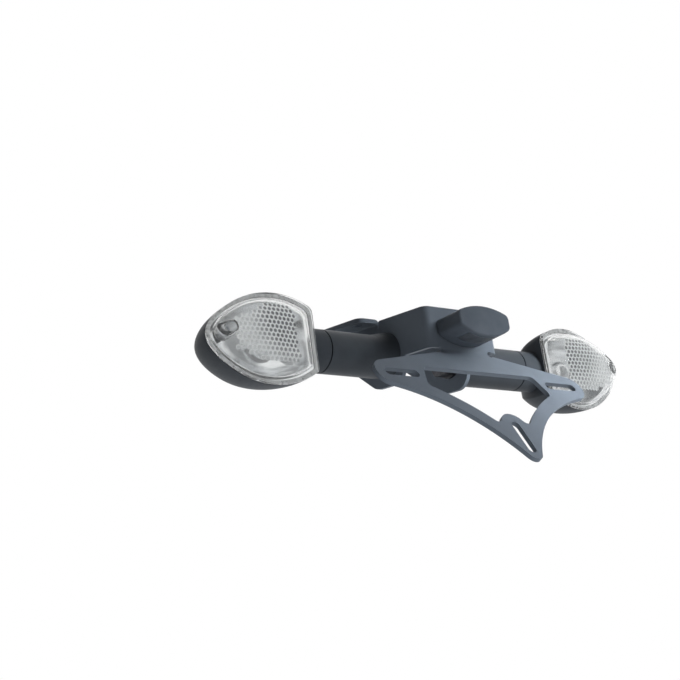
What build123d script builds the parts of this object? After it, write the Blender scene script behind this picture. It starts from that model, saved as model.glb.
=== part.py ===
from build123d import *
import os
from math import cos, radians, sin, sqrt, tan

# A motorbike tail tidy: one folded steel bracket that bolts up under the tail by two ears, with a
# number-plate hanger, a plate light and two indicators on round arms. Millimetres, +X right,
# +Y forward, +Z up. The origin is the middle of the four ear holes, on the ears' top face.

# Bracket sheet and its folds
sheet = 3.0
fold_inside = 1.5           # inside radius of the tight folds
neck_fold_inside = 5.0      # radius of the soft fold, on the rear face
relief_hole = 4.5           # diameter of the hole that ends each slit beside the neck

# Mounting ears
ear_hole = 6.5
ear_hole_pitch = 30.0       # front hole to rear hole
ear_hole_out = 8.5          # from the flange's outer face to a hole's middle
ear_hole_end = 10.0         # from a hole's middle to the ear's end
ear_hole_edge = 7.0         # from a hole's middle to the ear's outer edge
ear_corner = 5.0
ear_relief = 2.0            # width of the notch behind each ear's fold

# Channel of rear panel and side flanges
channel_width = 61.0
flange_top = 1.5            # top edge below the ears' top face
flange_corner = 1.5
fold_drop = 31.5            # fold line of the neck below the ears' top face
fold_back = 76.9            # and behind the middle of the ear holes
slit_rise = 1.5             # lower edge of panel and flanges above the fold line
panel_lean = 7.0            # degrees, top forward
front_drop = 16.0           # flange's front lower corner below the ears' top face
front_corner = 6.0

# Number-plate hanger, measured on its rear face from the top slots' line
hanger_tilt = 35.0          # degrees from vertical, top forward
slot_line_drop = 26.3       # from the fold line down the hanger to the top slots' line
slot_width = 6.5
slot_inner = 60.75          # from the middle to the near and far ends' centres of a top slot
slot_outer = 82.75
low_slot_width = 7.0
low_slot_top = 42.5         # centres of the low slot's ends, below the top slots' line
low_slot_bottom = 62.8
nose_margin = 7.2           # sheet left round the far end of a top slot
tip_margin = 3.0            # and beside the low slot's lower end
tip_drop = 2.8              # tip's middle below the low slot's lower end
bump_margin = 7.3           # and over its upper end
flank_radius = 124.0        # hollow flanks between nose and tip
shoulder_angle = 13.2       # degrees, rise of the shoulders towards the neck
neck_width = 44.8
leg_width = 10.0
window_top = 7.5
window_top_inset = 11.25    # window's upper corners, short of the top slots' near ends
window_low_inset = 3.75     # and its side corners
window_side_drop = 13.0
window_corner = 4.0

# Arms
arm_back = 31.9             # arm's axis behind the middle of the ear holes
arm_drop = 28.2             # and below the ears' top face
arm_radius = 14.5
arm_length = 57.6
arm_root_up = 3.0           # how far the root stands above the round of the arm
arm_root_wide = 0.5         # and to its front and rear
arm_root_length = 15.0
arm_bore = 8.0
spigot_radius = 10.0
spigot_length = 11.9
ring_gap = 1.0
fit_gap = 0.15              # sliding fits

# Arm studs, M10
stud_radius = 5.0
stud_bore = 6.0
stud_depth = 13.5           # how far a stud goes into the arm
stud_tail = 2.0             # how far it stands out of its nut
stud_hole_gap = 0.3
arm_washer_radius = 10.0
arm_washer_thick = 2.0
arm_nut_flats = 17.0
arm_nut_thick = 8.0

# Lobes of the flanges round the arms' roots, measured from the arm's axis
lobe_back = 17.0
lobe_drop = 19.5
lobe_front = 12.0           # where the lobe's foot turns up
lobe_root = 4.0             # rounding where the lobe leaves the flange's foot
lobe_corner = 12.0

# Indicator's frame: its rim plane behind the arm's axis, turned outwards and upwards
stem_length = 17.1
stem_reach = 22.0           # how far the stem runs on into the shell
rim_back = 16.1
rim_yaw = 5.7               # degrees
rim_pitch = 5.9

# Indicator's outline on its rim plane, outwards from the stem's end and up or down from the arm's axis
pod_inner = 1.0             # straight inner edge, short of the stem's end
pod_inner_top = 22.9
pod_inner_bottom = 18.5
pod_crest = 31.0            # where the outline is highest and lowest
pod_top = 31.6
pod_bottom = 28.9
pod_shoulder = 60.0
pod_shoulder_top = 22.3
pod_shoulder_bottom = 20.9
pod_tip = 78.5
pod_tip_rise = 1.5
pod_corner_top = 6.0
pod_corner_bottom = 1.5

# Indicator's housing, gasket and lens
housing_depth = 46.0
housing_squeeze = 1.05      # how strongly the shell is drawn in towards its back
back_out = 40.0             # where the shell closes
back_up = 1.0
housing_wall = 2.6
ledge_wall = 4.6            # wall under the ledge that the reflector's rim lies on
gasket_thick = 0.8
gasket_inset = 0.6
gasket_width = 2.0
lens_rim = 2.6
lens_rim_width = 3.4
lens_rim_round = 1.0
lens_wall = 2.0
lens_height = 13.5
lens_squeeze = 0.85
crown_out = 62.0            # where the lens is highest
crown_up = 3.0

# Reflector, bulb and bulb holder
reflector_rim = 1.2
reflector_thick = 1.2
reflector_depth = 17.0
reflector_squeeze = 0.6
bulb_out = 30.0             # bulb's axis
bulb_up = 1.5
bulb_radius = 9.0
holder_neck_radius = 10.0
holder_flange_radius = 13.0
holder_flange = 2.0
holder_length = 13.0
holder_wall = 2.5

# Lens screws
screw_out = 66.5
screw_up = 3.0
screw_radius = 2.0
screw_head_radius = 3.4
screw_head = 2.0
screw_length = 12.0
screw_well_gap = 0.3
screw_well_wall = 1.6
screw_boss_wall = 2.0

# Plate light, on the rear panel
light_up = 13.7             # light's axis above the fold line, up the panel
light_half_width = 22.8
light_top = 10.9
light_bottom = 10.4
light_side_top = 5.8        # ends of the light's upright sides
light_side_bottom = 3.6
light_corner = 4.0
light_length = 22.0
light_edge = 1.5
light_gasket = 1.0
light_gasket_inset = 1.0

# Its fixings and cable inlet
light_screw_out = 15.5
light_screw_radius = 2.0
light_screw_gap = 0.3
light_screw_head_radius = 4.0
light_screw_head = 2.6
light_screw_depth = 8.0
light_washer_radius = 4.6
light_washer_thick = 0.8
cable_bore = 4.0
grommet_radius = 4.0
grommet_flange_radius = 5.5
grommet_lip = 1.5

# Its clear window underneath and its board
window_length = 28.0
window_depth = 11.0
window_from_face = 3.0
window_rise = 4.4           # window's upper face above the light's lowest point
window_ledge = 1.5
cavity_height = 4.0
board_thick = 1.2
led_size = 3.5
led_height = 1.1
led_pitch = 7.5

# Planes that the pieces are drawn on
channel_half = channel_width / 2
ear_reach = channel_half + ear_hole_out + ear_hole_edge
ear_half_length = ear_hole_pitch / 2 + ear_hole_end
ear_fold = -2 * sheet - fold_inside
tilt = radians(hanger_tilt)
lean = radians(panel_lean)
yaw = radians(rim_yaw)
pitch = radians(rim_pitch)
fold_line = Vector(0, -fold_back, -fold_drop)
hanger_up = Vector(0, sin(tilt), cos(tilt))
panel_up = Vector(0, sin(lean), cos(lean))
slot_line = fold_line - hanger_up * slot_line_drop
hanger_plane = Plane(slot_line, x_dir=(1, 0, 0), z_dir=(0, -cos(tilt), sin(tilt)))
panel_plane = Plane(fold_line, x_dir=(1, 0, 0), z_dir=(0, -cos(lean), sin(lean)))
light_plane = Plane(fold_line + panel_up * light_up, x_dir=(1, 0, 0), z_dir=panel_plane.z_dir)
arm_plane = Plane((channel_half, -arm_back, -arm_drop), x_dir=(0, 1, 0), z_dir=(1, 0, 0))
stem_start = arm_length + ring_gap
rim_plane = Plane(
    (channel_half + stem_start + stem_length, -arm_back - rim_back, -arm_drop),
    x_dir=(cos(yaw), sin(yaw), 0),
    z_dir=(sin(yaw) * cos(pitch), -cos(yaw) * cos(pitch), sin(pitch)),
)
screw_plane = rim_plane * Pos(screw_out, screw_up)
bulb_plane = rim_plane * Pos(bulb_out, bulb_up)
window_roof = window_rise - light_bottom
cavity_roof = window_roof + cavity_height
light_screw_places = [light_plane * Pos(side * light_screw_out, 0) for side in (-1, 1)]
cable_place = light_plane * Pos(0, (window_roof + cavity_roof) / 2)


def rod(place, radius, start, end):
    """A round bar along a place's normal, from one height over it to another."""
    bar = Cylinder(radius, end - start, align=(Align.CENTER, Align.CENTER, Align.MIN))
    return place * Pos(0, 0, start) * bar


def hexagon(place, flats, start, end):
    """A hexagon bar along a place's normal."""
    return extrude(place * Pos(0, 0, start) * RegularPolygon(flats / 2, 6, major_radius=False), end - start)


def pair(half):
    """A shape with its mirror image about the middle plane."""
    return half + mirror(half, about=Plane.YZ)


# Bracket


def hanger():
    """The number-plate hanger: hollow flanks, a slot at each nose, a window and a low slot."""
    nose = Vector(slot_outer, 0)
    nose_radius = slot_width / 2 + nose_margin
    tip = Vector(0, -low_slot_bottom - tip_drop)
    tip_radius = low_slot_width / 2 + tip_margin
    tip_end = tip - Vector(0, tip_radius)
    # The flank's circle touches the nose's circle and the tip's circle from outside.
    reach = (tip - nose).length
    from_nose = flank_radius + nose_radius
    from_tip = flank_radius + tip_radius
    along = (from_nose**2 - from_tip**2 + reach**2) / (2 * reach)
    across = sqrt(from_nose**2 - along**2)
    ahead = (tip - nose).normalized()
    flank = nose + ahead * along + Vector(-ahead.Y, ahead.X) * across
    nose_touch = nose + (flank - nose).normalized() * nose_radius
    tip_touch = tip + (flank - tip).normalized() * tip_radius
    flank_middle = flank + ((nose_touch + tip_touch) * 0.5 - flank).normalized() * flank_radius
    tip_middle = tip + (tip_touch + tip_end - tip * 2).normalized() * tip_radius
    rise = radians(shoulder_angle)
    shoulder = nose + Vector(sin(rise), cos(rise)) * nose_radius
    neck_corner = Vector(neck_width / 2, shoulder.Y + (shoulder.X - neck_width / 2) * tan(rise))
    half = make_face(
        Line((0, neck_corner.Y), tip_end)
        + ThreePointArc(tip_end, tip_middle, tip_touch)
        + ThreePointArc(tip_touch, flank_middle, nose_touch)
        + ThreePointArc(nose_touch, nose + Vector(nose_radius, 0), shoulder)
        + Polyline(shoulder, neck_corner, (0, neck_corner.Y))
    )
    window_bottom = -low_slot_top - low_slot_width
    window = make_face(
        Polyline(
            (0, window_top),
            (slot_inner - window_top_inset, window_top),
            (slot_inner - window_low_inset, -window_side_drop),
            (slot_inner - window_low_inset, window_bottom),
            (0, window_bottom),
            close=True,
        )
    )
    window -= Pos(flank.X, flank.Y) * Circle(flank_radius + leg_width)
    window -= Pos(0, -low_slot_top) * Circle(low_slot_width / 2 + bump_margin)
    half -= fillet(window.vertices().filter_by(lambda corner: corner.X > window_corner), window_corner)
    half -= Pos((slot_inner + slot_outer) / 2, 0) * SlotCenterToCenter(slot_outer - slot_inner, slot_width)
    low_slot = SlotCenterToCenter(low_slot_bottom - low_slot_top, low_slot_width, rotation=90)
    whole = pair(half) - Pos(0, -(low_slot_top + low_slot_bottom) / 2) * low_slot
    return extrude(hanger_plane * whole, -sheet)


def neck():
    """The strip that joins hanger and panel through the soft fold."""
    leg = neck_fold_inside + sheet
    low = fold_line - hanger_up * leg
    high = fold_line + panel_up * leg
    corners = [(point.Y, point.Z) for point in (low, fold_line, high)]
    path = FilletPolyline(*corners, radius=neck_fold_inside)
    section = make_face(path.wire().offset_2d(sheet, side=Side.RIGHT).edges())
    return extrude(Plane.YZ * section, neck_width / 2, both=True)


def channel():
    """The rear panel with its two side flanges, cut to their side outline."""
    depth = fold_back + ear_half_length + fold_drop
    path = FilletPolyline(
        (-channel_half, depth),
        (-channel_half, 0),
        (channel_half, 0),
        (channel_half, depth),
        radius=fold_inside + sheet,
    )
    section = make_face(path.wire().offset_2d(sheet, side=Side.LEFT).edges())
    trough = extrude(Plane(fold_line, x_dir=(1, 0, 0), z_dir=panel_up) * section, 2 * fold_drop, both=True)
    rear = -fold_back - fold_drop
    foot = slit_rise - fold_drop
    lobe_rear = -arm_back - lobe_back
    lobe_bottom = -arm_drop - lobe_drop
    relief = -ear_half_length - ear_relief
    outline = {
        (rear, foot): 0,
        (lobe_rear, foot): lobe_root,
        (lobe_rear, lobe_bottom): lobe_corner,
        (-arm_back + lobe_front, lobe_bottom): lobe_corner,
        (ear_half_length, -front_drop): front_corner,
        (ear_half_length, ear_fold): 0,
        (relief, ear_fold): 0.4 * ear_relief,
        (relief, -flange_top): flange_corner,
        (rear, -flange_top): 0,
    }
    side = FilletPolyline(*outline.keys(), radius=list(outline.values()), close=True)
    return trough & extrude(Plane.YZ * make_face(side), ear_reach, both=True)


def ear():
    """The right mounting ear, folded outwards from the top of its flange."""
    path = FilletPolyline(
        (channel_half, ear_fold - sheet / 2),
        (channel_half, -sheet),
        (ear_reach, -sheet),
        radius=fold_inside,
    )
    section = make_face(path.wire().offset_2d(sheet, side=Side.LEFT).edges())
    body = extrude(Plane.XZ * section, ear_half_length, both=True)
    body = fillet(body.edges().filter_by(Axis.Z).group_by(Axis.X)[-1], ear_corner)
    for end in (-1, 1):
        hole = Cylinder(ear_hole / 2, 4 * sheet)
        body -= Pos(channel_half + ear_hole_out, end * ear_hole_pitch / 2) * hole
    return body


def main_bracket():
    """The whole bracket, one folded sheet."""
    body = hanger() + neck() + channel() + pair(ear())
    for side in (-1, 1):
        body -= panel_plane * Pos(side * neck_width / 2, 0) * Cylinder(relief_hole / 2, 6 * sheet)
    for place in light_screw_places:
        body -= place * Cylinder(light_screw_radius + light_screw_gap, 4 * sheet)
    body -= cable_place * Cylinder(grommet_radius + fit_gap, 4 * sheet)
    return body - pair(rod(arm_plane, stud_radius + stud_hole_gap, -2 * sheet, sheet))


# Right arm and its fixings

nut_seat = -sheet - arm_washer_thick
nut_end = nut_seat - arm_nut_thick


def arm():
    """A moulded round arm with a taller root, a stud hole, a cable bore and a spigot."""
    root = Pos(0, arm_root_up / 2) * Ellipse(arm_radius + arm_root_wide, arm_radius + arm_root_up / 2)
    round_end = Pos(0, 0, arm_root_length) * Circle(arm_radius)
    body = arm_plane * loft([root, round_end])
    body += rod(arm_plane, arm_radius, arm_root_length, arm_length)
    body += rod(arm_plane, spigot_radius, arm_length, arm_length + spigot_length)
    body -= rod(arm_plane, stud_radius + fit_gap / 2, -sheet, stud_depth)
    return body - rod(arm_plane, arm_bore / 2, stud_depth, arm_length + 2 * spigot_length)


def arm_stud():
    """A hollow stud, bonded into the arm's root and drawn up by the nut inside the channel."""
    body = rod(arm_plane, stud_radius, nut_end - stud_tail, stud_depth)
    return body - rod(arm_plane, stud_bore / 2, nut_end - 2 * stud_tail, 2 * stud_depth)


def arm_washer():
    """A plain washer on the flange's inner face."""
    body = rod(arm_plane, arm_washer_radius, nut_seat, -sheet)
    return body - rod(arm_plane, stud_radius + fit_gap, 2 * nut_seat, 0)


def arm_nut():
    """A hexagon nut on the stud."""
    body = hexagon(arm_plane, arm_nut_flats, nut_end, nut_seat)
    return body - rod(arm_plane, stud_radius + fit_gap / 2, 2 * nut_end, 0)


# Right indicator

pod_middle = Vector((pod_tip - pod_inner) / 2, (pod_top - pod_bottom) / 2)
pod_half = Vector((pod_tip + pod_inner) / 2, (pod_top + pod_bottom) / 2)
back = Vector(back_out, back_up)
crown = Vector(crown_out, crown_up)
bulb_seat = Vector(bulb_out, bulb_up)
ledge = -reflector_rim - fit_gap
lens_start = gasket_thick
screw_floor = lens_start + lens_wall
bowl_share = 0.98
reflector_floor = ledge - bowl_share * reflector_depth
holder_end = reflector_floor - holder_flange - holder_length


def pod_face(height, inset=0.0, squeeze=0.0, about=pod_middle):
    """The indicator's outline over the rim plane, drawn in by an inset and then shrunk towards a point."""
    outline = [
        (-pod_inner, pod_inner_top),
        (pod_crest, pod_top),
        (pod_shoulder, pod_shoulder_top),
        (pod_tip, pod_tip_rise),
        (pod_shoulder, -pod_shoulder_bottom),
        (pod_crest, -pod_bottom),
        (-pod_inner, -pod_inner_bottom),
    ]
    points = []
    for x, y in outline:
        x = pod_middle.X + (x - pod_middle.X) * (1 - inset / pod_half.X)
        y = pod_middle.Y + (y - pod_middle.Y) * (1 - inset / pod_half.Y)
        points.append((x + (about.X - x) * squeeze, y + (about.Y - y) * squeeze))
    face = make_face(Spline(points) + Line(points[-1], points[0]))
    face = fillet(face.vertices().sort_by(Axis.Y)[-1], pod_corner_top * (1 - squeeze))
    face = fillet(face.vertices().sort_by(Axis.Y)[0], pod_corner_bottom * (1 - squeeze))
    return rim_plane * Pos(0, 0, height) * face


def pod_bowl(start, depth, inset, squeeze, about):
    """A bowl or dome on the indicator's outline, whose wall runs in like a quarter ellipse."""
    sections = []
    for share in (0, 0.4, 0.7, 0.9, bowl_share):
        sections.append(pod_face(start + share * depth, inset, squeeze * (1 - sqrt(1 - share**2)), about))
    return loft(sections)


def indicator_housing():
    """The moulded shell with its stem, the ledge for the reflector and the screw's boss."""
    shell = pod_bowl(0, -housing_depth, 0, housing_squeeze, back)
    body = shell + rod(arm_plane, arm_radius, stem_start, stem_start + stem_length + stem_reach)
    body -= pod_bowl(ledge, 2 * housing_wall - housing_depth, ledge_wall, housing_squeeze, back)
    body -= extrude(pod_face(ledge, housing_wall), lens_start - ledge)
    boss = rod(screw_plane, screw_radius + screw_boss_wall, -housing_depth, 0) & shell
    body += boss + rod(screw_plane, screw_radius + screw_boss_wall, ledge, lens_start)
    body -= rod(screw_plane, screw_radius + fit_gap / 2, screw_floor - screw_length - fit_gap, screw_floor)
    body -= rod(arm_plane, spigot_radius + fit_gap, stem_start - ring_gap, arm_length + spigot_length)
    return body - rod(arm_plane, arm_bore / 2, stem_start, stem_start + stem_length + 0.75 * stem_reach)


def indicator_lens():
    """The clear lens: a flat rim, a dome and a well for the screw near the tip."""
    dome = pod_bowl(lens_start, lens_height, lens_rim_width, lens_squeeze, crown)
    inner_inset = lens_rim_width + lens_wall
    hollow = pod_bowl(lens_start - fit_gap, lens_height - lens_wall, inner_inset, lens_squeeze, crown)
    rim = extrude(pod_face(lens_start), lens_rim)
    outside = rim.faces().sort_by(Axis(rim_plane.origin, rim_plane.z_dir))[-1]
    body = fillet(outside.edges(), lens_rim_round) + dome - hollow
    well_radius = screw_head_radius + screw_well_gap
    body += rod(screw_plane, well_radius + screw_well_wall, lens_start, lens_start + lens_height) & dome
    body -= rod(screw_plane, well_radius, screw_floor, lens_start + 2 * lens_height)
    return body - rod(screw_plane, screw_radius + fit_gap, 0, 2 * screw_floor)


def lens_gasket():
    """The rubber ring between the lens's rim and the housing's."""
    body = extrude(pod_face(0, gasket_inset), gasket_thick)
    return body - extrude(pod_face(-gasket_thick, gasket_inset + gasket_width), 3 * gasket_thick)


def lens_screw():
    """The pan-head screw that holds the lens."""
    body = rod(screw_plane, screw_radius, screw_floor - screw_length, screw_floor)
    return body + rod(screw_plane, screw_head_radius, screw_floor, screw_floor + screw_head)


def reflector():
    """The bright bowl behind the lens, hung on the housing's ledge by its rim."""
    inset = ledge_wall + 2 * fit_gap
    body = extrude(pod_face(ledge, housing_wall + 2 * fit_gap), reflector_rim)
    body += pod_bowl(ledge, -reflector_depth, inset, reflector_squeeze, bulb_seat)
    hollow_start = ledge + reflector_rim
    hollow_floor = reflector_floor + reflector_thick
    hollow_depth = (hollow_floor - hollow_start) / bowl_share
    body -= pod_bowl(hollow_start, hollow_depth, inset + reflector_thick, reflector_squeeze, bulb_seat)
    body -= rod(bulb_plane, holder_neck_radius + fit_gap, 2 * reflector_floor, ledge)
    boss_radius = screw_radius + screw_boss_wall
    return body - rod(screw_plane, boss_radius + fit_gap, 2 * reflector_floor, lens_start)


def bulb_holder():
    """The twist-in holder behind the reflector."""
    body = rod(bulb_plane, holder_neck_radius, holder_end, reflector_floor + reflector_thick)
    body += rod(bulb_plane, holder_flange_radius, reflector_floor - holder_flange, reflector_floor)
    return body - rod(bulb_plane, holder_neck_radius - holder_wall, holder_end + holder_wall, 0)


def bulb():
    """The bulb: a plain cap in the holder and a round glass."""
    cap_radius = holder_neck_radius - holder_wall - fit_gap
    cap_top = reflector_floor + reflector_thick
    glass_up = cap_top + sqrt(bulb_radius**2 - cap_radius**2)
    glass = bulb_plane * Pos(0, 0, glass_up) * Sphere(bulb_radius)
    return rod(bulb_plane, cap_radius, holder_end + holder_wall, cap_top) + glass


# Plate light

light_end = light_gasket + light_length
window_far = light_end - window_from_face
window_near = window_far - window_depth


def light_face(inset=0.0):
    """The light's outline: arched top and bottom between upright sides."""
    half = light_half_width - inset
    high = light_side_top - inset / 2
    low = inset / 2 - light_side_bottom
    face = make_face(
        ThreePointArc((-half, high), (0, light_top - inset), (half, high))
        + Line((half, high), (half, low))
        + ThreePointArc((half, low), (0, inset - light_bottom), (-half, low))
        + Line((-half, low), (-half, high))
    )
    return fillet(face.vertices(), light_corner)


def light_block(length, near, far, low, high, middle=0.0):
    """A block in the light, from its length across, its ends along the light and its heights."""
    block = Box(length, high - low, far - near, align=(Align.CENTER, Align.MIN, Align.MIN))
    return light_plane * Pos(middle, low, near) * block


def light_solid():
    """The light's outer form with its rounded rear edge."""
    body = extrude(light_plane * Pos(0, 0, light_gasket) * light_face(), light_length)
    rear = body.faces().sort_by(Axis(light_plane.origin, light_plane.z_dir))[-1]
    return fillet(rear.edges(), light_edge)


def plate_light_housing():
    """The moulded housing, with the window's seat, the board's cavity, a cable bore and two screw holes."""
    body = light_solid()
    body -= light_block(window_length, window_near, window_far, -2 * light_bottom, window_roof)
    body -= light_block(
        window_length - 2 * window_ledge,
        window_near + window_ledge,
        window_far - window_ledge,
        window_roof,
        cavity_roof,
    )
    body -= rod(cable_place, cable_bore / 2, 0, window_near + 2 * window_ledge)
    for place in light_screw_places:
        body -= rod(place, light_screw_radius + fit_gap / 2, 0, light_screw_depth + fit_gap)
    return body


def plate_light_lens():
    """The clear window, flush with the light's underside and glued to its ledge."""
    return light_solid() & light_block(
        window_length - 2 * fit_gap,
        window_near + fit_gap,
        window_far - fit_gap,
        -2 * light_bottom,
        window_roof,
    )


def plate_light_board():
    """The small board under the cavity's roof, with three diodes."""
    near = window_near + window_ledge + fit_gap
    far = window_far - window_ledge - fit_gap
    low = cavity_roof - board_thick
    body = light_block(window_length - 2 * window_ledge - 2 * fit_gap, near, far, low, cavity_roof)
    middle = (near + far) / 2
    for place in (-1, 0, 1):
        body += light_block(
            led_size, middle - led_size / 2, middle + led_size / 2, low - led_height, low, place * led_pitch
        )
    return body


def plate_light_gasket():
    """The rubber sheet between light and panel."""
    body = extrude(light_plane * light_face(light_gasket_inset), light_gasket)
    body -= rod(cable_place, grommet_radius + fit_gap, -light_gasket, 2 * light_gasket)
    for place in light_screw_places:
        body -= rod(place, light_screw_radius + light_screw_gap, -light_gasket, 2 * light_gasket)
    return body


def plate_light_screws():
    """Two screws from inside the channel."""
    seat = -sheet - light_washer_thick
    screws = []
    for place in light_screw_places:
        screw = rod(place, light_screw_radius, seat, light_screw_depth)
        screws.append(screw + rod(place, light_screw_head_radius, seat - light_screw_head, seat))
    return Compound(screws)


def plate_light_washers():
    """Their washers, on the panel's inner face."""
    washers = []
    for place in light_screw_places:
        washer = rod(place, light_washer_radius, -sheet - light_washer_thick, -sheet)
        washers.append(washer - rod(place, light_screw_radius + fit_gap, -2 * sheet, 0))
    return Compound(washers)


def cable_grommet():
    """The rubber grommet of the light's cable hole, pressed in from inside the channel."""
    body = rod(cable_place, grommet_radius, -sheet, light_gasket)
    body += rod(cable_place, grommet_flange_radius, -sheet - grommet_lip, -sheet)
    return body - rod(cable_place, cable_bore / 2, -3 * sheet, 3 * sheet)


# Every piece; the left-hand ones are mirror images of the right-hand ones
pieces = {
    "main_bracket": main_bracket(),
    "plate_light_housing": plate_light_housing(),
    "plate_light_lens": plate_light_lens(),
    "plate_light_board": plate_light_board(),
    "plate_light_gasket": plate_light_gasket(),
    "plate_light_screws": plate_light_screws(),
    "plate_light_washers": plate_light_washers(),
    "cable_grommet": cable_grommet(),
}
right_pieces = {
    "arm": arm(),
    "arm_stud": arm_stud(),
    "arm_washer": arm_washer(),
    "arm_nut": arm_nut(),
    "indicator_housing": indicator_housing(),
    "indicator_lens": indicator_lens(),
    "lens_gasket": lens_gasket(),
    "lens_screw": lens_screw(),
    "reflector": reflector(),
    "bulb_holder": bulb_holder(),
    "bulb": bulb(),
}
for name, piece in right_pieces.items():
    pieces[f"right_{name}"] = piece
    pieces[f"left_{name}"] = mirror(piece, about=Plane.YZ)

os.makedirs("parts", exist_ok=True)
for name, piece in pieces.items():
    export_step(piece, f"parts/{name}.step")
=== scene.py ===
import bmesh
import bpy
from math import cos, pi, radians, sin
from mathutils import Matrix, Vector


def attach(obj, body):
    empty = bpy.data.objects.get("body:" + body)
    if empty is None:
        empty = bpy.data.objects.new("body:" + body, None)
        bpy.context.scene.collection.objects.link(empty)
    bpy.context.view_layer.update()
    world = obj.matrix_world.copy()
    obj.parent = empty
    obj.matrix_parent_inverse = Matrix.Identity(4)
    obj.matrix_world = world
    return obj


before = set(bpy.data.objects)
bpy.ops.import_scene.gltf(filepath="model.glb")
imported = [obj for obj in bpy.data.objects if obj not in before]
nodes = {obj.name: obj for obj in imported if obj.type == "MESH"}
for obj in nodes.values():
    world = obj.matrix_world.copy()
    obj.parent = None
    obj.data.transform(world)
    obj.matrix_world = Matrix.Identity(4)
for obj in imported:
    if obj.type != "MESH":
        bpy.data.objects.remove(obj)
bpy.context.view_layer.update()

# Bracket: one 3 mm steel sheet, cut, folded and powder coated in a dark satin grey.
# The coat is baked on, so it is finely pebbled and a little uneven in tone.
noise_low = 0.3             # tones and roughness run over this span of a noise
noise_high = 0.7


def finish(name):
    """A new node material, with its tree, its shader and its Object coordinates."""
    material = bpy.data.materials.new(name)
    material.use_nodes = True
    tree = material.node_tree
    place = tree.nodes.new("ShaderNodeTexCoord")
    return material, tree, tree.nodes["Principled BSDF"], place.outputs["Object"]


def grain(tree, place, per_metre, detail=4):
    """Noise of so many waves to the metre."""
    noise = tree.nodes.new("ShaderNodeTexNoise")
    noise.inputs["Scale"].default_value = per_metre
    noise.inputs["Detail"].default_value = detail
    tree.links.new(place, noise.inputs["Vector"])
    return noise.outputs["Fac"]


def tone(tree, value, dark, light, socket):
    """Colours a socket between two tones by a value."""
    ramp = tree.nodes.new("ShaderNodeValToRGB")
    ramp.color_ramp.elements[0].position = noise_low
    ramp.color_ramp.elements[0].color = (*dark, 1)
    ramp.color_ramp.elements[1].position = noise_high
    ramp.color_ramp.elements[1].color = (*light, 1)
    tree.links.new(value, ramp.inputs["Fac"])
    tree.links.new(ramp.outputs["Color"], socket)


def between(tree, value, low, high, socket):
    """Sets a socket between two numbers by a value."""
    span = tree.nodes.new("ShaderNodeMapRange")
    span.inputs["From Min"].default_value = noise_low
    span.inputs["From Max"].default_value = noise_high
    span.inputs["To Min"].default_value = low
    span.inputs["To Max"].default_value = high
    tree.links.new(value, span.inputs["Value"])
    tree.links.new(span.outputs["Result"], socket)


def relief(tree, shader, value, depth, strength):
    """Raises a shader's surface by a value, up to a depth in metres."""
    bump = tree.nodes.new("ShaderNodeBump")
    bump.inputs["Strength"].default_value = strength
    bump.inputs["Distance"].default_value = depth
    tree.links.new(value, bump.inputs["Height"])
    tree.links.new(bump.outputs["Normal"], shader.inputs["Normal"])


def pebbled(name, dark, light, clouds, smooth, rough, pebbles, detail, depth, strength):
    """A skin of cloudy tone with a fine relief, with so many clouds and pebbles to the metre."""
    material, tree, shader, place = finish(name)
    tone(tree, grain(tree, place, clouds), dark, light, shader.inputs["Base Color"])
    skin = grain(tree, place, pebbles, detail)
    between(tree, skin, smooth, rough, shader.inputs["Roughness"])
    relief(tree, shader, skin, depth, strength)
    return material, shader


def dress(material, *names):
    """Puts a material on CAD nodes."""
    for name in names:
        nodes[name].data.materials.clear()
        nodes[name].data.materials.append(material)


powder_coat, shader = pebbled(
    "powder_coat",
    dark=(0.142, 0.161, 0.187),
    light=(0.164, 0.186, 0.215),
    clouds=45,
    smooth=0.42,
    rough=0.52,
    pebbles=1400,
    detail=2,
    depth=0.00006,
    strength=0.5,
)
shader.inputs["Specular IOR Level"].default_value = 0.1
dress(powder_coat, "main_bracket")

# Arms: round black nylon mouldings, each drawn up to its flange by a stud in its root.
# Their skin is satin, with a faint grain from the tool.


def both(name):
    """The left and right nodes of a name."""
    return f"left_{name}", f"right_{name}"


satin_black, shader = pebbled(
    "satin_black",
    dark=(0.045, 0.05, 0.057),
    light=(0.055, 0.061, 0.069),
    clouds=60,
    smooth=0.38,
    rough=0.5,
    pebbles=2200,
    detail=2,
    depth=0.00004,
    strength=0.4,
)
shader.inputs["Specular IOR Level"].default_value = 0.12
dress(satin_black, *both("arm"))

# Studs, nuts and washers, and the plate light's screws: cold-formed steel with a cloudy, dark zinc plating.
# The studs go through the flanges into the arms.
# Their nuts, and the heads of the light's screws, are drawn up inside the channel.
zinc_dark = (0.07, 0.07, 0.075)
zinc_light = (0.12, 0.12, 0.125)
dark_zinc, tree, shader, place = finish("dark_zinc")
shader.inputs["Metallic"].default_value = 1
tone(tree, grain(tree, place, per_metre=400), zinc_dark, zinc_light, shader.inputs["Base Color"])
between(tree, grain(tree, place, per_metre=1500), low=0.32, high=0.48, socket=shader.inputs["Roughness"])
relief(tree, shader, grain(tree, place, per_metre=1800, detail=2), depth=0.00003, strength=0.3)
dress(dark_zinc, *both("arm_stud"), *both("arm_washer"), *both("arm_nut"))
dress(dark_zinc, "plate_light_screws", "plate_light_washers")

# Indicator shells: black moulded plastic, with a fine spark grain from the tool.
# Each fits over its arm's spigot with its stem.


def spark_grained(name, dark, light):
    """A moulded plastic with a fine spark grain, in two close tones."""
    material, shader = pebbled(
        name,
        dark,
        light,
        clouds=80,
        smooth=0.4,
        rough=0.58,
        pebbles=1700,
        detail=3,
        depth=0.00006,
        strength=0.5,
    )
    shader.inputs["Specular IOR Level"].default_value = 0.12
    return material


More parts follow.
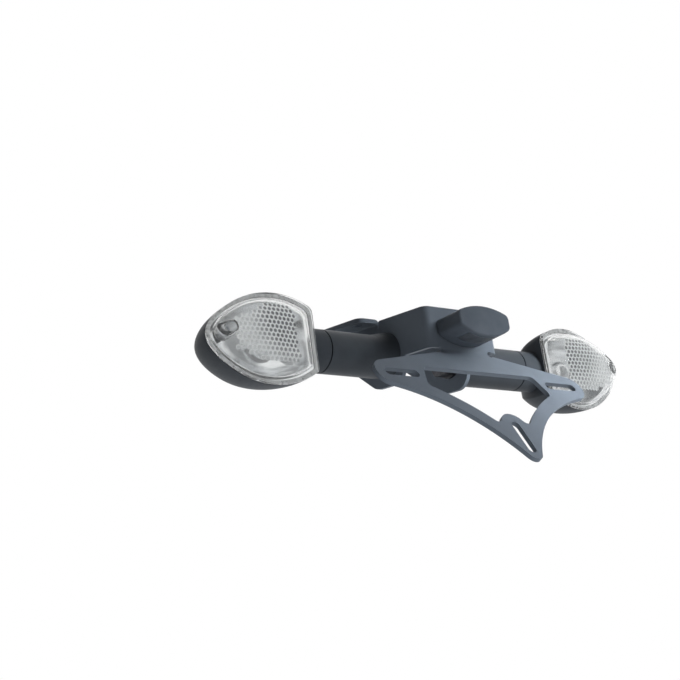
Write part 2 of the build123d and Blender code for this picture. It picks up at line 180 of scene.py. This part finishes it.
shell_black = spark_grained("grained_black", dark=(0.044, 0.049, 0.056), light=(0.052, 0.058, 0.066))
dress(shell_black, *both("indicator_housing"))

# Bulb holders: pale heat-proof plastic, moulded with a plain dull skin.
# Each is twisted in behind its reflector.


def mottled(name, dark, light, clouds, smooth, rough, specks):
    """A smooth skin of wandering tone and polish, with so many clouds and specks to the metre."""
    material, tree, shader, place = finish(name)
    tone(tree, grain(tree, place, clouds), dark, light, shader.inputs["Base Color"])
    between(tree, grain(tree, place, specks), smooth, rough, shader.inputs["Roughness"])
    return material, shader


holder_grey, shader = mottled(
    "holder_grey",
    dark=(0.7, 0.7, 0.71),
    light=(0.78, 0.78, 0.79),
    clouds=200,
    smooth=0.45,
    rough=0.6,
    specks=900,
)
dress(holder_grey, *both("bulb_holder"))

# Bulbs: blown glass with a thin silver coat on a plain cap, pushed into the holders.
# The coat keeps their colour from showing through the clear lens by day.
silver_glass, shader = mottled(
    "silver_glass",
    dark=(0.84, 0.85, 0.86),
    light=(0.9, 0.91, 0.92),
    clouds=160,
    smooth=0.2,
    rough=0.32,
    specks=700,
)
shader.inputs["Metallic"].default_value = 1
dress(silver_glass, *both("bulb"))

# Reflectors: moulded bowls with a bright vacuum-metallised skin.
# The rim of each hangs on the ledge inside its shell.
silvered_bowl, shader = mottled(
    "silvered_bowl",
    dark=(0.94, 0.95, 0.96),
    light=(0.96, 0.97, 0.98),
    clouds=120,
    smooth=0.2,
    rough=0.26,
    specks=500,
)
shader.inputs["Metallic"].default_value = 1
dress(silvered_bowl, *both("reflector"))

# Lens gaskets: thin rings of moulded white silicone, clamped between each lens's rim and its shell.
# They show through the clear rim as a pale band.
white_silicone, shader = mottled(
    "white_silicone",
    dark=(0.82, 0.83, 0.84),
    light=(0.88, 0.89, 0.9),
    clouds=150,
    smooth=0.45,
    rough=0.6,
    specks=1200,
)
dress(white_silicone, *both("lens_gasket"))

# Lenses: clear polycarbonate mouldings, polished, each held over its shell by a screw near the tip.
# Their tone varies a little with the wall, and their polish is a little uneven.
clear_plastic, shader = mottled(
    "clear_plastic",
    dark=(0.97, 0.98, 0.975),
    light=(0.985, 0.99, 0.985),
    clouds=40,
    smooth=0.03,
    rough=0.08,
    specks=600,
)
shader.inputs["IOR"].default_value = 1.4
shader.inputs["Transmission Weight"].default_value = 0.95
dress(clear_plastic, *both("indicator_lens"))

# Lens optics: a honeycomb of small pillows, moulded on the inner face of each lens.
# They spread the bulb's light. Each crown carries a painted dark spot, painted shade standing for the dark
# holder behind that the pillow gathers.
# The painted shade is strongest near the arm and fades away from it.
rim_origin = Vector((0.1062, -0.048, -0.0282))
rim_yaw = radians(5.7)
rim_pitch = radians(5.9)
optics_area = [             # corners on the rim plane, anticlockwise
    (0.0185, 0.022),
    (0.016, -0.015),
    (0.042, -0.0165),
    (0.0625, -0.0085),
    (0.0635, 0.0075),
    (0.0505, 0.0145),
    (0.0368, 0.021),
]
screw_middle = Vector((0.0665, 0.003))
screw_clear = 0.0075
pillow_rows = range(-6, 10)
pillow_columns = range(20)
pillow_pitch = 0.0033
pillow_gap = 0.0008         # between the lens and the pillows' feet
pillow_foot = 0.0003
pillow_sides = 6
pillow_corners = 3 * pillow_sides
foot_radius = 0.56 * pillow_pitch
shoulder_radius = 0.46 * pillow_pitch
crown_inset = 0.11 * pillow_pitch
crown_rise = 0.0003
ray_start = 0.001           # above the rim plane, under the lens
# Painted shade on the pillows' crowns: darkest at this middle, fading over this reach, never less than the
# least.
painted_shade_middle = Vector((0.022, 0.012))
painted_shade_reach = 0.05
painted_shade_most = 1.05
painted_shade_least = 0.43
optic_pale = (0.97, 0.98, 0.99)
optic_painted_shade = (0.04, 0.045, 0.06)


def within(spot, corners):
    """Whether a spot lies inside corners that run anticlockwise."""
    for near, far in zip(corners, corners[1:] + corners[:1]):
        if (far[0] - near[0]) * (spot[1] - near[1]) < (far[1] - near[1]) * (spot[0] - near[0]):
            return False
    return True


def facing(place, along, normal):
    """A frame at a place, square to a normal and turned along a direction."""
    side = (along - normal * along.dot(normal)).normalized()
    return Matrix.Translation(place) @ Matrix((side, normal.cross(side), normal)).transposed().to_4x4()


def add_piece(form, name, material):
    """Turns a form into a new piece of the part."""
    mesh = bpy.data.meshes.new(name)
    form.to_mesh(mesh)
    mesh.materials.append(material)
    piece = bpy.data.objects.new(name, mesh)
    bpy.context.scene.collection.objects.link(piece)
    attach(piece, "root")


optic_white, tree, shader, place = finish("optic_white")
# The spot attribute holds the painted shade on each pillow's crown.
painted_shade_spots = tree.nodes.new("ShaderNodeAttribute")
painted_shade_spots.attribute_name = "spot"
tone(tree, painted_shade_spots.outputs["Fac"], optic_pale, optic_painted_shade, shader.inputs["Base Color"])
shader.inputs["Metallic"].default_value = 0.7
between(tree, grain(tree, place, per_metre=700), low=0.42, high=0.55, socket=shader.inputs["Roughness"])

across = Vector((cos(rim_yaw), sin(rim_yaw), 0))
outward = Vector((sin(rim_yaw) * cos(rim_pitch), -cos(rim_yaw) * cos(rim_pitch), sin(rim_pitch)))
rim = facing(rim_origin, across, outward)
lens = nodes["right_indicator_lens"]
bpy.context.view_layer.update()
form = bmesh.new()
painted_shade_layer = form.verts.layers.float.new("spot")
for row in pillow_rows:
    for column in pillow_columns:
        spot = Vector((pillow_pitch * (column + row % 2 / 2), pillow_pitch * sin(pi / 3) * row))
        if not within(spot, optics_area) or (spot - screw_middle).length < screw_clear:
            continue
        pillow = bmesh.ops.create_cone(
            form,
            cap_ends=True,
            segments=pillow_sides,
            radius1=foot_radius,
            radius2=shoulder_radius,
            depth=pillow_foot,
        )["verts"]
        caps = pillow[0].link_faces[:] + pillow[-1].link_faces[:]
        top = max(caps, key=lambda face: face.calc_center_median().z)
        bmesh.ops.inset_region(form, faces=[top], thickness=crown_inset, depth=crown_rise)
        # Painted shade: each crown's value falls off with its distance from the darkest middle near the
        # arm.
        for corner in top.verts:
            corner[painted_shade_layer] = max(painted_shade_least, painted_shade_most - (spot - painted_shade_middle).length / painted_shade_reach)
        seat, normal = lens.ray_cast(rim @ Vector((*spot, ray_start)), outward)[1:3]
        on_lens = facing(seat - outward * pillow_gap, across, -normal)
        form.verts.ensure_lookup_table()
        bmesh.ops.transform(form, verts=form.verts[-pillow_corners:], matrix=on_lens)
add_piece(form, "right_lens_optics", optic_white)
bmesh.ops.scale(form, verts=form.verts, vec=(-1, 1, 1))
bmesh.ops.recalc_face_normals(form, faces=form.faces)
add_piece(form, "left_lens_optics", optic_white)
form.free()

# Lens screws: small pan-head screws of bright zinc-plated steel.
# Each is sunk in a well near its lens's tip and driven down into the shell's boss.
bright_zinc, shader = mottled(
    "bright_zinc",
    dark=(0.56, 0.58, 0.62),
    light=(0.68, 0.7, 0.74),
    clouds=500,
    smooth=0.25,
    rough=0.4,
    specks=1500,
)
shader.inputs["Metallic"].default_value = 1
dress(bright_zinc, *both("lens_screw"))

# Plate light's housing: a dark grey plastic moulding, with the shells' fine grain.
# Two screws from inside the channel draw it up to the rear panel on its gasket.
housing_grey = spark_grained("housing_grey", dark=(0.084, 0.096, 0.113), light=(0.104, 0.118, 0.138))
dress(housing_grey, "plate_light_housing")

# Plate light's board: glass fibre under a green solder mask, cut to fit the housing's cavity.
# It is stuck to the cavity's roof, behind the window.
solder_mask, shader = mottled(
    "solder_mask",
    dark=(0.03, 0.16, 0.06),
    light=(0.05, 0.22, 0.09),
    clouds=300,
    smooth=0.3,
    rough=0.45,
    specks=900,
)
dress(solder_mask, "plate_light_board")

# Plate light's window: lightly smoked, frosted polycarbonate, glued into the underside of the housing.
# Its dark tint is partly painted shade, for the shade under the light. It lies flush, so by day it hardly
# shows.
smoke_and_shade_plastic, shader = mottled(
    "smoke_and_shade_plastic",
    dark=(0.1, 0.11, 0.125),
    light=(0.13, 0.14, 0.16),
    clouds=200,
    smooth=0.4,
    rough=0.55,
    specks=900,
)
# The dark tones above are partly painted shade under the light.
shader.inputs["Transmission Weight"].default_value = 0.5
shader.inputs["Specular IOR Level"].default_value = 0.2
dress(smoke_and_shade_plastic, "plate_light_lens")

# Plate light's gasket and cable grommet: moulded black rubber, with a dull skin.
# The gasket is squeezed between housing and panel, and the grommet is pressed into the panel's cable hole.
black_rubber, shader = mottled(
    "black_rubber",
    dark=(0.012, 0.012, 0.012),
    light=(0.022, 0.022, 0.022),
    clouds=150,
    smooth=0.6,
    rough=0.8,
    specks=1200,
)
dress(black_rubber, "plate_light_gasket", "cable_grommet")

# Floor: a plain pale sheet well below the part, which takes its soft shadow.
# Where it is seen straight, mirrored or through glass, it is lifted towards white.
floor_drop = 0.3
floor_reach = 30
floor_dark = (0.56, 0.56, 0.56)
floor_light = (0.58, 0.58, 0.58)
floor_lift = 0.53


def seen_rays(tree):
    """One for rays that see the surround: straight from the camera, mirrored or through glass."""
    path = tree.nodes.new("ShaderNodeLightPath")
    mirrored = tree.nodes.new("ShaderNodeMath")
    mirrored.operation = "MAXIMUM"
    tree.links.new(path.outputs["Is Glossy Ray"], mirrored.inputs[0])
    tree.links.new(path.outputs["Is Transmission Ray"], mirrored.inputs[1])
    direct = tree.nodes.new("ShaderNodeMath")
    direct.operation = "MAXIMUM"
    tree.links.new(path.outputs["Is Camera Ray"], direct.inputs[0])
    tree.links.new(mirrored.outputs["Value"], direct.inputs[1])
    return direct.outputs["Value"]


floor_mesh = bpy.data.meshes.new("floor")
form = bmesh.new()
bmesh.ops.create_grid(form, x_segments=1, y_segments=1, size=floor_reach)
bmesh.ops.translate(form, verts=form.verts, vec=(0, 0, -floor_drop))
form.to_mesh(floor_mesh)
form.free()
floor = bpy.data.objects.new("floor", floor_mesh)
bpy.context.scene.collection.objects.link(floor)
floor_white, tree, shader, place = finish("floor_white")
tone(tree, grain(tree, place, per_metre=3), floor_dark, floor_light, shader.inputs["Base Color"])
shader.inputs["Roughness"].default_value = 0.8
lift = tree.nodes.new("ShaderNodeMath")
lift.operation = "MULTIPLY"
lift.inputs[1].default_value = floor_lift
tree.links.new(seen_rays(tree), lift.inputs[0])
tree.links.new(lift.outputs["Value"], shader.inputs["Emission Strength"])
shader.inputs["Emission Color"].default_value = (1, 1, 1, 1)
floor_mesh.materials.append(floor_white)

# Surround: plain white where it is seen straight, mirrored or through glass.
# To all other rays it is a dim, slightly cool light from all round.
cool_white = (0.9, 0.95, 1)
ambient = 0.09
world = bpy.data.worlds.new("surround")
bpy.context.scene.world = world
world.use_nodes = True
tree = world.node_tree
tree.nodes["Background"].inputs["Color"].default_value = (*cool_white, 1)
tree.nodes["Background"].inputs["Strength"].default_value = ambient
seen = tree.nodes.new("ShaderNodeBackground")
seen.inputs["Color"].default_value = (1, 1, 1, 1)
seen.inputs["Strength"].default_value = 1
choice = tree.nodes.new("ShaderNodeMixShader")
tree.links.new(seen_rays(tree), choice.inputs["Fac"])
tree.links.new(tree.nodes["Background"].outputs["Background"], choice.inputs[1])
tree.links.new(seen.outputs["Background"], choice.inputs[2])
tree.links.new(choice.outputs["Shader"], tree.nodes["World Output"].inputs["Surface"])

# Lamps: a narrow softbox behind the right indicator, and broad ones high behind and in front of the part.
# A faint one lies just above the floor and lifts the part's underside.
part_middle = (0, -0.05, -0.04)


def softbox(name, place, aim, size, power, spread=180):
    """A square area lamp that points at a spot and spreads over an angle in degrees."""
    lamp = bpy.data.lights.new(name, "AREA")
    lamp.size = size
    lamp.energy = power
    lamp.spread = radians(spread)
    lamp.color = cool_white
    box = bpy.data.objects.new(name, lamp)
    box.visible_camera = False
    box.visible_glossy = False
    box.visible_transmission = False
    box.location = place
    box.rotation_euler = (Vector(aim) - Vector(place)).to_track_quat("-Z", "Y").to_euler()
    bpy.context.scene.collection.objects.link(box)


softbox("key_light", place=(0.4, -0.5, 0.14), aim=(0.14, -0.1, -0.07), size=0.16, power=0.32, spread=30)
softbox("rear_light", place=(2, -3, 2.4), aim=part_middle, size=1.4, power=55)
softbox("front_light", place=(1.25, 2.6, 2.1), aim=part_middle, size=1.2, power=56)
softbox("floor_bounce", place=(-0.1, -0.35, -0.29), aim=(-0.1, -0.35, 0), size=0.6, power=0.9)

# Camera: low behind the left of the part, looking up at it through a long lens.
# Its place, turn and lens are fitted to where the part's own points lie in the picture.
eye = Vector((-0.7775, -0.86364, -0.26256))
azimuth = -40.4
elevation = -12.54
roll = -4.44
focal_px = 1704
image_px = 680
shift_px = 1
camera = bpy.data.cameras.new("camera")
camera.sensor_width = 36
camera.lens = camera.sensor_width * focal_px / image_px
camera.shift_y = shift_px / image_px
view = bpy.data.objects.new("camera", camera)
turn = Matrix.Rotation(radians(azimuth), 4, "Z") @ Matrix.Rotation(radians(90 - elevation), 4, "X")
view.matrix_world = Matrix.Translation(eye) @ turn @ Matrix.Rotation(radians(roll), 4, "Z")
bpy.context.scene.collection.objects.link(view)
bpy.context.scene.camera = view
bpy.context.scene.view_settings.view_transform = "Standard"
